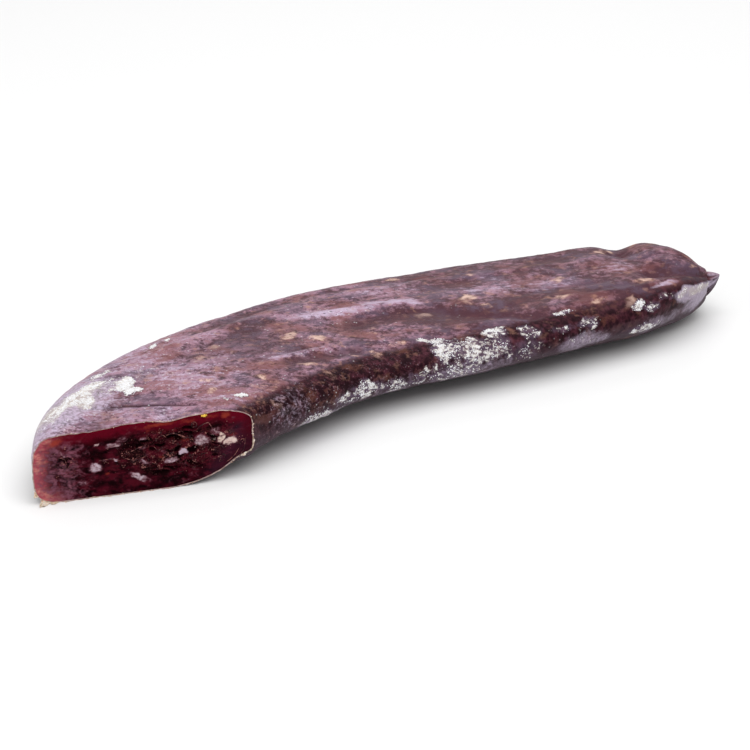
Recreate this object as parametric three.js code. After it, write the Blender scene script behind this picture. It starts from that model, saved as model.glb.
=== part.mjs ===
// A flat-pressed cured sausage. The casing is gathered to a small tail at one end, and the other
// end is cut on the slant. Millimetres, +Z up. It lies on z = 0 with its length along +X, the cut
// at low X and the hollow side of its bend towards low Y.
import * as THREE from 'three';

const DEGREE = Math.PI / 180;

// Middle line, from the middle of the cut to the foot of the tail
const LENGTH = 240;
const LINE_STEP = 1;
const LINE_BEFORE_CUT = 70;
// Direction of the middle line, counter-clockwise from +X, at even steps along the length
const HEADINGS = [55, 16, 10.5, -8.6, -10, -11.4, -24].map((degrees) => degrees * DEGREE);

// Width and thickness of the pressed section at even steps along the length
const WIDTHS = [55, 66, 67, 69, 65.5, 57, 56];
const THICKNESSES = [21.9, 22.6, 20.9, 22.1, 24.3];
// Shares of the length at which the gathered end starts to close, and how bluntly it does
const WIDTH_CLOSES_AT = 0.828;
const WIDTH_CLOSING = 1.55;
const DEPTH_CLOSES_AT = 0.9;
const DEPTH_CLOSING = 1.96;

// Squareness of the section's quarters: low-Y top, high-Y top, high-Y bottom, low-Y bottom
const QUARTERS_AT_CUT = [8.6, 2.9, 5.9, 2.7];
const QUARTERS_ALONG = [3.5, 2.9, 2.7, 1.72];
const QUARTERS_CHANGE_BY = 0.3;
const ROUND_FROM = 0.9;
const ROUND = 2;
// Depth by which its own weight has flattened the underside
const PRESSED = 0.5;

// Tail of twisted casing, and the height of its middle above the board, at its foot
// TAIL_POINT is 1 for a straight taper and 2 for a round end, and TAIL_RISES is the share of the taper
// that its underside takes
const TAIL_LENGTH = 5;
const TAIL_WIDTH = 4.6;
const TAIL_DEPTH = 10.4;
const TAIL_HEIGHT = 11.5;
const TAIL_POINT = 1.4;
const TAIL_RISES = 0.78;

// Cut through the sausage: the height of its middle, its direction and its lean
const CUT_MIDDLE_HEIGHT = 10.5;
const CUT_YAW = -17.9 * DEGREE;
const CUT_LEAN = 7.7 * DEGREE;
const CUT_SEARCH = 60;
const CUT_SEARCH_STEPS = 40;

// The section's surface is unrolled to lengths in millimetres: a quarter turn from the low-Y edge
// to the middle of the top is this long, and 0 is the middle of the top
const QUARTER = 44;

// Swelling of the high-Y side just behind the cut
const SWELLING = { at: 8, reach: 14, height: 1.3 };

// Folds and dents in the casing: from, to (along, round), half width and height
const FOLDS = [
  { from: [216, -40], to: [212, -12], width: 5, height: -2.1 },
  { from: [212, -12], to: [217, 12], width: 5.5, height: -1.5 },
  { from: [217, 12], to: [241, 22], width: 6, height: -2.4 },
  { from: [227, -30], to: [233, -6], width: 7.5, height: 1.4 },
  { from: [237, -30], to: [241, -2], width: 8, height: -3.4 },
  { from: [210, 36], to: [241, 37], width: 5, height: 1.2 },
  { from: [68, 17], to: [92, 25], width: 3.5, height: -0.8 },
  { from: [96, -4], to: [126, 0], width: 3.5, height: 0.6 },
  { from: [104, 6], to: [134, 9], width: 3.5, height: -0.6 },
  { from: [137, 11], to: [162, 27], width: 4, height: -0.8 },
  { from: [27, 39], to: [29, 45], width: 5.2, height: 1.3 },
  { from: [8, 13], to: [13, 13], width: 4.5, height: -1 },
  { from: [19, 28], to: [30, 27], width: 4.5, height: 0.7 },
  { from: [-3, -33], to: [3, -26], width: 6, height: 1.1 },
];

// Uneven ground of the casing: long shallow folds, and lumps
const RIPPLES = { along: 38, round: 8, height: 0.45, seed: 1 };
const LUMPS = { along: 17, round: 13, height: 0.35, seed: 2 };
// Height above the board over which relief fades to the flat underside
const RELIEF_FADE = 5;
// Half width of the section under which relief fades towards the tail
const RELIEF_NEEDS = 8;

// Crags of the cut face, across and up
const CRAGS = { across: 6, up: 4, height: 0.7, seed: 3 };

// Mesh: columns round the section, a multiple of 4, stations along it, rings of the tail,
// and rows between the upper and lower edge of the cut face
const COLUMNS = 44;
const STATIONS = 80;
const TAIL_RINGS = 6;
const CUT_ROWS = 7;

// Place of the cut's middle, which puts the middle of the sausage's footprint on the origin
const PLACE = new THREE.Vector3(-103, -27.49, 0);

const clamp01 = (x) => Math.min(Math.max(x, 0), 1);
const smooth = (x) => clamp01(x) ** 2 * (3 - 2 * clamp01(x));
const mix = THREE.MathUtils.lerp;

// Catmull-Rom curve through evenly spaced values, straight before the first
function along(values, share) {
  const last = values.length - 1;
  const x = clamp01(share) * last;
  const i = Math.min(Math.floor(x), last - 1);
  const f = x - i;
  const b = values[i];
  const c = values[i + 1];
  const a = i > 0 ? values[i - 1] : 2 * b - c;
  const d = i + 2 <= last ? values[i + 2] : 2 * c - b;
  const curve = f * (c - a + f * (2 * a - 5 * b + 4 * c - d + f * (3 * (b - c) + d - a)));
  return b + 0.5 * curve + (values[1] - values[0]) * last * Math.min(share, 0);
}

// Repeatable random value from 0 to 1 for a lattice point
function chance(i, j, seed) {
  const x = Math.sin(i * 127.1 + j * 311.7 + seed * 74.7) * 43758.5453;
  return x - Math.floor(x);
}

// Smooth uneven ground from -1 to 1 over cells of unit size
function ground(x, y, seed) {
  const i = Math.floor(x);
  const j = Math.floor(y);
  const u = smooth(x - i);
  const low = mix(chance(i, j, seed), chance(i + 1, j, seed), u);
  const high = mix(chance(i, j + 1, seed), chance(i + 1, j + 1, seed), u);
  return 2 * mix(low, high, smooth(y - j)) - 1;
}

// Middle line as stations one step apart, with the cut's middle at the origin
function middleLine() {
  const heading = (s) => (s > LENGTH ? HEADINGS.at(-1) : along(HEADINGS, s / LENGTH));
  const line = [{ x: 0, y: 0, heading: heading(-LINE_BEFORE_CUT) }];
  for (let s = LINE_STEP - LINE_BEFORE_CUT; s <= LENGTH + TAIL_LENGTH + LINE_STEP; s += LINE_STEP) {
    const last = line.at(-1);
    const h = heading(s);
    const x = last.x + ((Math.cos(h) + Math.cos(last.heading)) / 2) * LINE_STEP;
    const y = last.y + ((Math.sin(h) + Math.sin(last.heading)) / 2) * LINE_STEP;
    line.push({ x, y, heading: h });
  }
  const start = line[LINE_BEFORE_CUT / LINE_STEP];
  return line.map(({ x, y, heading: h }) => ({ x: x - start.x, y: y - start.y, heading: h }));
}
const LINE = middleLine();

function onLine(s) {
  const x = (s + LINE_BEFORE_CUT) / LINE_STEP;
  const i = Math.min(Math.max(Math.floor(x), 0), LINE.length - 2);
  const between = (key) => mix(LINE[i][key], LINE[i + 1][key], x - i);
  return { x: between('x'), y: between('y'), heading: between('heading') };
}

// Share of a size that is left where the gathered end closes
function left(share, from, power) {
  return Math.max(1 - clamp01((share - from) / (1 - from)) ** power, 0) ** (1 / power);
}

// Half width, half thickness and middle height of the section at s along the middle line
function sectionSize(s) {
  const share = s / LENGTH;
  const wide = left(share, WIDTH_CLOSES_AT, WIDTH_CLOSING);
  const deep = left(share, DEPTH_CLOSES_AT, DEPTH_CLOSING);
  const tail = left((s - LENGTH) / TAIL_LENGTH, 0, TAIL_POINT);
  const halfWidth = (TAIL_WIDTH * tail + (along(WIDTHS, share) - TAIL_WIDTH) * wide) / 2;
  const halfDepth = (TAIL_DEPTH * tail + (along(THICKNESSES, share) - TAIL_DEPTH) * deep) / 2;
  const lift = (TAIL_HEIGHT - TAIL_DEPTH / 2) * (1 - deep) + TAIL_DEPTH * TAIL_RISES * (1 - tail);
  return { halfWidth, halfDepth, middle: halfDepth + lift };
}

// Height of a ridge, or depth of a valley below 0, beside the line that it follows
function foldHeight({ from, to, width, height }, s, round) {
  const run = [to[0] - from[0], to[1] - from[1]];
  const passed = (s - from[0]) * run[0] + (round - from[1]) * run[1];
  const t = clamp01(passed / (run[0] ** 2 + run[1] ** 2));
  const away = Math.hypot(s - from[0] - t * run[0], round - from[1] - t * run[1]);
  return height * Math.exp(-((away / width) ** 2));
}

// Relief of the casing at s along and round the section
function relief(s, round, share, halfWidth) {
  let height = 0;
  for (const fold of FOLDS) {
    height += foldHeight(fold, s, round);
  }
  for (const g of [RIPPLES, LUMPS]) {
    height += g.height * ground(s / g.along, round / g.round, g.seed);
  }
  const side = smooth((-share - 0.2) / 0.8);
  const swelling = SWELLING.height * Math.exp(-(((s - SWELLING.at) / SWELLING.reach) ** 2)) * side;
  return height * clamp01(halfWidth / RELIEF_NEEDS) + swelling;
}

// Point of the casing at s along the middle line, q quarter turns round: 0 is the low-Y edge,
// 1 the middle of the top, 2 the high-Y edge and 3 the middle of the underside
function casing(s, q) {
  const share = s / LENGTH;
  const { halfWidth: a, halfDepth: b, middle } = sectionSize(s);
  const i = Math.floor(q) % 4;
  const part = i % 2 === 1 ? 1 - (q % 1) : q % 1;
  const power = mix(
    mix(QUARTERS_AT_CUT[i], QUARTERS_ALONG[i], smooth(share / QUARTERS_CHANGE_BY)),
    ROUND,
    smooth((share - ROUND_FROM) / (1 - ROUND_FROM)),
  );
  // Even steps round a quarter of the bounding box, drawn in to the rounded section
  const walked = part * (a + b);
  const boxX = walked < b ? 1 : (a + b - walked) / a;
  const boxZ = walked < b ? walked / b : 1;
  const draw = (boxX ** power + boxZ ** power) ** (-1 / power);
  const signX = i === 0 || i === 3 ? 1 : -1;
  const signZ = i < 2 ? 1 : -1;
  const x = signX * boxX * draw;
  const z = signZ * boxZ * draw;
  const normal = new THREE.Vector2(
    (signX * Math.abs(x) ** (power - 1)) / a,
    (signZ * Math.abs(z) ** (power - 1)) / b,
  ).normalize();
  const height = middle + b * z - PRESSED;
  const round = (1 - (q > 3 ? q - 4 : q)) * QUARTER;
  const out = relief(s, round, x, a) * smooth(height / RELIEF_FADE);
  const line = onLine(s);
  const across = a * x + normal.x * out;
  return new THREE.Vector3(
    line.x + Math.sin(line.heading) * across,
    line.y - Math.cos(line.heading) * across,
    Math.max(height + normal.y * out, 0),
  );
}

// Cut plane: its middle, and its directions across, up and out of the sausage
const CUT = { middle: new THREE.Vector3(0, 0, CUT_MIDDLE_HEIGHT) };
CUT.across = new THREE.Vector3(Math.cos(CUT_YAW), Math.sin(CUT_YAW), 0);
CUT.up = new THREE.Vector3(0, 0, 1).applyAxisAngle(CUT.across, -CUT_LEAN);
CUT.out = new THREE.Vector3().crossVectors(CUT.across, CUT.up);

// Distance along the middle line at which the casing's line q meets the cut
function cutAt(q) {
  let low = -CUT_SEARCH;
  let high = CUT_SEARCH;
  for (let step = 0; step < CUT_SEARCH_STEPS; step++) {
    const middle = (low + high) / 2;
    if (casing(middle, q).sub(CUT.middle).dot(CUT.out) < 0) {
      high = middle;
    } else {
      low = middle;
    }
  }
  return (low + high) / 2;
}

// Rings of casing points from the cut to the foot of the tail, and on to its end
function casingRings() {
  const quarters = Array.from({ length: COLUMNS }, (_, j) => (4 * j) / COLUMNS);
  const starts = quarters.map(cutAt);
  const rings = [];
  for (let i = 0; i <= STATIONS; i++) {
    rings.push(quarters.map((q, j) => casing(mix(starts[j], LENGTH, i / STATIONS), q)));
  }
  for (let i = 1; i < TAIL_RINGS; i++) {
    const s = LENGTH + TAIL_LENGTH * Math.sin((i / TAIL_RINGS) * (Math.PI / 2));
    rings.push(quarters.map((q) => casing(s, q)));
  }
  return rings;
}

// Points of the cut face between two facing points of its edge, with its crags
function cutColumn(top, bottom) {
  const points = [];
  for (let row = 1; row <= CUT_ROWS; row++) {
    const point = top.clone().lerp(bottom, row / (CUT_ROWS + 1));
    const place = point.clone().sub(CUT.middle);
    const crag = ground(place.dot(CUT.across) / CRAGS.across, place.dot(CUT.up) / CRAGS.up, CRAGS.seed);
    points.push(point.addScaledVector(CUT.out, crag * CRAGS.height));
  }
  return points;
}

// One closed body: casing, end of the tail and cut face
function sausageGeometry() {
  const positions = [];
  const faces = [];
  const add = (point) => positions.push(point.x + PLACE.x, point.y + PLACE.y, point.z) / 3 - 1;
  const quad = (a, b, c, d) => faces.push(a, b, c, a, c, d);

  const points = casingRings();
  const rings = points.map((ring) => ring.map(add));
  for (let i = 0; i + 1 < rings.length; i++) {
    for (let j = 0; j < COLUMNS; j++) {
      const k = (j + 1) % COLUMNS;
      quad(rings[i][j], rings[i + 1][j], rings[i + 1][k], rings[i][k]);
    }
  }
  const end = onLine(LENGTH + TAIL_LENGTH);
  const endHeight = sectionSize(LENGTH + TAIL_LENGTH).middle - PRESSED;
  const tip = add(new THREE.Vector3(end.x, end.y, endHeight));
  for (let j = 0; j < COLUMNS; j++) {
    faces.push(rings.at(-1)[j], tip, rings.at(-1)[(j + 1) % COLUMNS]);
  }

  const edge = rings[0];
  const half = COLUMNS / 2;
  const columns = [];
  for (let j = 1; j < half; j++) {
    const between = cutColumn(points[0][j], points[0][COLUMNS - j]).map(add);
    columns.push([edge[j], ...between, edge[COLUMNS - j]]);
  }
  for (let k = 0; k <= CUT_ROWS; k++) {
    faces.push(edge[0], columns[0][k], columns[0][k + 1]);
    faces.push(edge[half], columns.at(-1)[k + 1], columns.at(-1)[k]);
    for (let j = 0; j + 1 < columns.length; j++) {
      quad(columns[j][k], columns[j + 1][k], columns[j + 1][k + 1], columns[j][k + 1]);
    }
  }

  const geometry = new THREE.BufferGeometry();
  geometry.setAttribute('position', new THREE.Float32BufferAttribute(positions, 3));
  geometry.setIndex(faces);
  geometry.computeVertexNormals();
  return geometry;
}

const casingMaterial = new THREE.MeshStandardMaterial({ color: 0x6e4c56, roughness: 0.55, metalness: 0 });
const sausage = new THREE.Mesh(sausageGeometry(), casingMaterial);
sausage.name = 'sausage';

const part = new THREE.Group();
part.add(sausage);

export default part;
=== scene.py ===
import math

import bpy
import numpy as np
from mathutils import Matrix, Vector


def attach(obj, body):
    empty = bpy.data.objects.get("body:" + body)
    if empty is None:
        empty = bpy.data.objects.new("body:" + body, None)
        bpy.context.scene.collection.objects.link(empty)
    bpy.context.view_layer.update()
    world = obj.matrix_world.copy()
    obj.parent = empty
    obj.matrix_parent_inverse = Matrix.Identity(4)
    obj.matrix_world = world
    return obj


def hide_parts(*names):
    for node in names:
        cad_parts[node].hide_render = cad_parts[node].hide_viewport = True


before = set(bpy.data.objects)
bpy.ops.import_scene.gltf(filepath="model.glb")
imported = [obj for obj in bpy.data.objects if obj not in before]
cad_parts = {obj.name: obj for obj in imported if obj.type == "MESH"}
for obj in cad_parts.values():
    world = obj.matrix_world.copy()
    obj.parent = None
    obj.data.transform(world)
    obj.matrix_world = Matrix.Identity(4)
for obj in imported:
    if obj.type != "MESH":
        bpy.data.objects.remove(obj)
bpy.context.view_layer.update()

MM = 0.001
# Keeps divisors and the last ring of the tail off zero
TINY = 1e-6

# Middle line, from the middle of the cut to the foot of the tail, and its directions at even steps
LENGTH = 240.0
LINE_STEP = 1.0
LINE_BEFORE_CUT = 70
HEADINGS = np.radians([55.0, 16.0, 10.5, -8.6, -10.0, -11.4, -24.0])

# Width and thickness of the pressed section at even steps along the length
WIDTHS = [55.0, 66.0, 67.0, 69.0, 65.5, 57.0, 56.0]
THICKNESSES = [21.9, 22.6, 20.9, 22.1, 24.3]
WIDTH_CLOSES_AT, WIDTH_CLOSING = 0.828, 1.55
DEPTH_CLOSES_AT, DEPTH_CLOSING = 0.9, 1.96

# Squareness of the section's quarters: low-Y top, high-Y top, high-Y bottom, low-Y bottom
QUARTERS_AT_CUT = np.array([8.6, 2.9, 5.9, 2.7])
QUARTERS_ALONG = np.array([3.5, 2.9, 2.7, 1.72])
QUARTERS_CHANGE_BY = 0.3
ROUND_FROM, ROUND = 0.9, 2.0
PRESSED = 0.5

# Tail of twisted casing: it tapers straight at TAIL_POINT 1 and ends round at 2, and its underside
# takes TAIL_RISES of the taper
TAIL_LENGTH, TAIL_WIDTH, TAIL_DEPTH, TAIL_HEIGHT = 5.0, 4.6, 10.4, 11.5
TAIL_POINT, TAIL_RISES = 1.4, 0.78

# Cut plane: height of its middle, direction and lean
CUT_MIDDLE = np.array([0.0, 0.0, 10.5])
CUT_YAW, CUT_LEAN = math.radians(-17.9), math.radians(7.7)
CUT_SEARCH, CUT_SEARCH_STEPS = 60.0, 40
CUT_ACROSS = np.array([math.cos(CUT_YAW), math.sin(CUT_YAW), 0.0])
CUT_UP = np.array([
    -math.sin(CUT_YAW) * math.sin(CUT_LEAN),
    math.cos(CUT_YAW) * math.sin(CUT_LEAN),
    math.cos(CUT_LEAN),
])
CUT_OUT = np.cross(CUT_ACROSS, CUT_UP)

# The casing is unrolled to (along, round): a quarter turn is this long, and round is 0 on the top's middle
QUARTER = 44.0
# Heading along which patches and haze are drawn out on the top
GRAIN_HEADING = math.radians(-25.0)
GRAIN_UP_TO = 32.0
# The near side turns to its maroon colour, darkened as painted shade, from this far round, over this height
SIDE_FROM, SIDE_HEIGHT = 28.0, 20.0
SWELLING_AT, SWELLING_REACH, SWELLING = 8.0, 14.0, 1.3

# Folds: from (along, round), to (along, round), half width, height
FOLDS = [
    (216, -40, 212, -12, 5.0, -2.1), (212, -12, 217, 12, 5.5, -1.5), (217, 12, 241, 22, 6.0, -2.4),
    (227, -30, 233, -6, 7.5, 1.4), (237, -30, 241, -2, 8.0, -3.4), (210, 36, 241, 37, 5.0, 1.2),
    (68, 17, 92, 25, 3.5, -0.8), (96, -4, 126, 0, 3.5, 0.6), (104, 6, 134, 9, 3.5, -0.6),
    (137, 11, 162, 27, 4.0, -0.8), (27, 39, 29, 45, 5.2, 1.3), (8, 13, 13, 13, 4.5, -1.0),
    (19, 28, 30, 27, 4.5, 0.7), (-3, -33, 3, -26, 6.0, 1.1),
]
# Uneven ground: cell along, cell round, height, seed
RIPPLES = (38.0, 8.0, 0.45, 1)
LUMPS = (17.0, 13.0, 0.35, 2)
RELIEF_FADE, RELIEF_NEEDS = 5.0, 8.0

# Sharper creases of the casing alone, in the same form as the folds
CREASES = [
    (9, -19, 14, 0, 0.8, -0.5), (14, 0, 20, 17, 0.8, -0.5), (22, 17, 32, 23.5, 1.5, 0.5),
    (32, 23.5, 45, 29, 1.5, 0.45), (66, 12, 88, 19, 1.6, 0.5), (62, 9, 84, 14.5, 1.3, -0.4),
    (96, -6, 126, 0, 1.7, 0.5), (104, 2, 136, 7, 1.5, -0.5), (138, 10, 163, 28, 1.6, -0.4),
    (165, 8, 196, 13, 1.6, -0.35), (150, -14, 186, -9, 1.9, 0.3), (44, -19, 80, -16, 1.8, 0.35),
    (100, -24, 150, -21, 1.8, -0.3), (190, 22, 212, 24, 1.6, 0.35), (30, 30, 66, 34, 1.4, -0.3),
]

# Relief of the casing alone: gathers by the tail, the squeezed inner side of the bend with its
# limits along and round, fat under the casing, and the mould's crust with its crumbs
GATHERS_FROM, GATHERS_OVER, GATHERS = 205, 30, 0.45
SQUEEZED_ALONG, SQUEEZED_ROUND, SQUEEZE = (44, 84), (32, 58), 0.3
FAT_STANDS = 0.16
CRUST_FROM, CRUST_OVER, CRUST, CRUST_CRUMBS = 0.45, 0.5, 0.04, 0.22

# Creases that also get a painted shade line, and its half width
SHADED_CREASES = CREASES[:2]
CREASE_SHADE_WIDTH = 0.6

# Patches on the casing: along, round, half length, half width, strength.
# White mould is solid at strength 1 and crumbly below
MOULD = [
    (9, -30, 6, 5, 0.88), (13.4, -25, 7, 5.5, 1.02), (18.5, -22.5, 5, 4.5, 1.08),
    (12, -19.5, 4.5, 3.5, 0.92), (5, -34, 7, 6, 0.74), (27, -28, 7, 5, 0.66),
    (20.5, -16.5, 6, 5.5, 0.60), (23.8, -11.5, 3.5, 3.5, 1.4), (22.3, -6.4, 2.9, 2.6, 1.35),
    (30, -12, 6, 5, 0.5), (44.7, -26.8, 1.3, 1.6, 1.2), (50.9, -26.8, 1.2, 1.5, 1.2),
    (37, 24.5, 2.6, 1.4, 1.4), (31, 23, 4, 1.0, 0.8), (62, 46.5, 9, 1.6, 0.85),
    (76, 43.5, 8, 3.6, 0.70), (87, 42.5, 8, 3.6, 0.70), (101, 44, 9, 4, 0.66),
    (114, 42.5, 8, 3.6, 0.62), (125, 29.5, 5, 2.2, 0.86), (126.5, 34.5, 7, 5, 0.84),
    (136, 38, 8, 5, 0.70), (129, 43, 12, 5, 0.62), (146, 32.0, 5.5, 3.2, 0.95),
    (144, 38, 8, 5, 0.72), (158, 36.0, 4.5, 3.0, 0.72), (154, 41, 9, 4, 0.60),
    (172.6, 31.2, 4.2, 2.0, 0.95), (170, 37.8, 4.5, 1.8, 0.66), (179, 37, 6, 1.8, 0.72),
    (176, 42.5, 9, 3, 0.46), (201.5, 34, 4, 2.2, 0.90), (207, 37.5, 4, 3, 0.84),
    (214, 34, 5, 1.6, 0.64), (221, 35.5, 6, 2.2, 0.62), (233, 36, 9, 3.2, 0.66),
    (204, 45, 9, 3.2, 0.76), (60, -42, 16, 5, 0.72), (98, -46, 14, 6, 0.85),
    (140, -42, 9, 4, 0.8), (176, -45, 16, 5, 0.75), (214, -42, 10, 5, 0.75),
]
# Thin greyish film of fine powder
FILM = [
    (11, -27, 17, 12, 1.2), (21, -16, 8, 6, 0.95), (31, -12, 7, 5, 0.5),
    (-2, -38, 12, 9, 0.9), (53, 38, 11, 7, 0.45), (66, 47, 11, 3, 0.9),
    (100, 47, 16, 3, 0.5), (136, 45, 20, 5, 0.55), (178, 43.5, 12, 3.8, 0.72),
    (212, 46, 15, 4.5, 0.6), (214, 27, 4, 3, 0.7), (230, 36.5, 11, 4.0, 1.5),
    (237, 44, 11, 8, 1.2), (244.5, 5, 3.4, 80, 0.75),
]
# Dark places where the casing is sunken: painted shade in its hollows and under its ridges
DARK_AND_SHADED = [
    (131, 10, 13, 4.5, 0.6), (116, 2.5, 8, 2.4, 0.7), (146, 12, 9, 3.4, 0.5),
    (103, 6.5, 8, 3.0, 0.45), (77, 15, 9, 3.5, 0.7), (75, -13, 9, 6, 0.7),
    (46, -13, 8, 5, 0.35), (192, 19, 9, 4.5, 0.75), (201, 25, 7, 4, 0.8),
    (162, 13, 9, 3, 0.3), (178, 13.5, 7, 3, 0.5), (230, 26, 6, 5, 1.7),
    (236, 29, 5, 4, 1.5), (43.5, 11, 1.6, 1.6, 0.9), (41, 5, 1.3, 1.3, 0.8),
    (47, 9, 1.2, 1.2, 0.8),
]
# Lilac haze of fine powder, and painted highlights along the ridges where it is strongest
HAZE_AND_HIGHLIGHTS = [
    (38, 2, 17, 13, 0.8), (8, -10, 15, 12, 0.75), (12, 8, 10, 6, 0.6),
    (20, -34, 40, 14, 0.85), (33, -22, 14, 8, 0.7), (31, 21, 10, 3.5, 0.75),
    (44, 28, 8, 3, 0.4), (53, -22, 18, 5, 0.5), (52, -2, 13, 12, 0.55),
    (70, 12.5, 9, 3, 1.1), (81, 18.5, 8, 2.2, 1.0), (101, -4.5, 13, 3.6, 1.25),
    (122, -2, 10, 2.8, 1.15), (128, -13, 16, 5, 0.45), (160, -3, 17, 9, 0.6),
    (178, 6, 13, 6, 0.65), (206, 4, 9, 6, 0.65), (218, 27, 4.5, 3.5, 1.3),
    (64, 46, 22, 5, 0.6), (178, 43, 16, 5, 0.6), (238, 34, 9, 8, 0.6),
    (243, 0, 3.5, 60, 0.7),
]
# Fat that shows tan through the casing
FAT = [
    (79, 1.8, 3.4, 3.3, 1), (52.3, 18.5, 3, 2.7, 0.8), (40, 9.7, 3.2, 3, 0.75),
    (49, -4, 4, 2.4, 0.6), (57, -8.4, 2.5, 3.3, 0.7), (86.3, 9.7, 2.8, 2.2, 0.9),
    (148, 5.7, 3, 3.6, 0.95), (129.5, 9, 3.8, 2.2, 0.9), (107, 13, 3, 3.3, 0.7),
    (69, 21.5, 3.8, 2.4, 0.8), (71.6, 33, 2.3, 4.5, 0.65), (132.5, -27, 3.2, 3, 0.6),
    (181.7, 3.5, 3.2, 3.3, 0.9), (178, 18, 3.4, 2.7, 0.75), (150.5, 12, 2.7, 2.4, 0.7),
    (157.5, -12.8, 2.8, 3.6, 0.6), (199, 31.5, 2.5, 3.3, 0.95), (208, -17, 2.3, 3.9, 0.8),
    (234, 11, 2.2, 2.4, 0.9), (208.5, 19.5, 2.8, 2.7, 0.6), (33.5, 16, 2.8, 2.2, 0.75),
    (58, -1.3, 2.8, 2, 0.55), (105, 2.2, 2.3, 2.4, 0.55), (187.6, 27.7, 2.7, 2.7, 0.6),
    (221.7, 12, 1.8, 2.0, 0.65), (90, 27, 2.8, 3, 0.6), (52, 28, 3.2, 3.3, 0.5),
    (98, 32, 2.8, 4.5, 0.6), (110, 26, 3.4, 3, 0.5), (47, 36, 2.8, 4.5, 0.45),
]

# Mesh steps: columns round the section, stations along it, rings of the tail
COLUMNS, STATIONS, TAIL_RINGS = 252, 372, 12
CLOSER_AT_CUT = 1.25
CASING_THICKNESS = 0.30
RIM_WIDTH = 0.15
CUT_RECESS = 2.6
# The rim's height over the cut varies by this much
RIM_RAGGED = 0.22
# The casing's markings lose contrast from here on, over this length, down to this share
SOFT_FROM, SOFT_OVER, SOFTEST = 90, 70, 0.32
# Relief from the deepest to the highest place, over which the colours are painted lighter on ridges and
# darker in valleys as light and shade
RELIEF_SHADE_OVER = 1.7

# Place of the cut's middle in the row frame
PLACE = np.array([-103.0, -27.49, 0.0])


def smooth(x):
    x = np.clip(x, 0, 1)
    return x * x * (3 - 2 * x)


def mix(a, b, t):
    return a + (b - a) * t


def unit(vectors):
    return vectors / np.linalg.norm(vectors, axis=-1, keepdims=True)


def chance(i, j, seed):
    """Repeatable random value from 0 to 1 for a lattice point."""
    x = np.sin(i * 127.1 + j * 311.7 + seed * 74.7) * 43758.5453
    return x - np.floor(x)


def ground(x, y, seed):
    """Smooth uneven ground from -1 to 1 over cells of unit size."""
    i, j = np.floor(x), np.floor(y)
    u, v = smooth(x - i), smooth(y - j)
    low = mix(chance(i, j, seed), chance(i + 1, j, seed), u)
    high = mix(chance(i, j + 1, seed), chance(i + 1, j + 1, seed), u)
    return 2 * mix(low, high, v) - 1


def rough(x, y, seed, octaves=3):
    """Ground with finer ground on it."""
    total, size = 0.0, 1.0
    for octave in range(octaves):
        total = total + size * ground(x * 2 ** octave, y * 2 ** octave, seed + 17 * octave)
        size /= 2
    return total


def along(values, share):
    """Catmull-Rom curve through evenly spaced values, straight before the first."""
    v = np.asarray(values, float)
    last = len(v) - 1
    x = np.clip(share, 0, 1) * last
    i = np.minimum(x.astype(int), last - 1)
    f = x - i
    padded = np.concatenate([[2 * v[0] - v[1]], v, [2 * v[-1] - v[-2]]])
    a, b, c, d = padded[i], padded[i + 1], padded[i + 2], padded[i + 3]
    curve = f * (c - a + f * (2 * a - 5 * b + 4 * c - d + f * (3 * (b - c) + d - a)))
    return b + 0.5 * curve + (v[1] - v[0]) * last * np.minimum(share, 0)


def middle_line():
    """Stations one step apart: distance, x, y and heading, with the cut's middle at the origin."""
    s = np.arange(-LINE_BEFORE_CUT, LENGTH + TAIL_LENGTH + 2 * LINE_STEP, LINE_STEP)
    heading = np.where(s > LENGTH, HEADINGS[-1], along(HEADINGS, s / LENGTH))
    steps = [(part[1:] + part[:-1]) / 2 * LINE_STEP for part in (np.cos(heading), np.sin(heading))]
    x, y = (np.concatenate([[0], np.cumsum(step)]) for step in steps)
    return s, x - x[LINE_BEFORE_CUT], y - y[LINE_BEFORE_CUT], heading


LINE_S, LINE_X, LINE_Y, LINE_HEADING = middle_line()


def left(share, start, power):
    """Share of a size that is left where the gathered end closes."""
    x = np.clip((share - start) / (1 - start), 0, 1)
    return np.maximum(1 - x ** power, 0) ** (1 / power)


def fold_height(fold, s, r):
    """Height of a ridge, or depth of a valley below 0, beside the line that it follows."""
    s0, r0, s1, r1, width, height = fold
    run_s, run_r = s1 - s0, r1 - r0
    t = np.clip(((s - s0) * run_s + (r - r0) * run_r) / (run_s ** 2 + run_r ** 2), 0, 1)
    away = np.hypot(s - s0 - t * run_s, r - r0 - t * run_r)
    return height * np.exp(-(away / width) ** 2)


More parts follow.
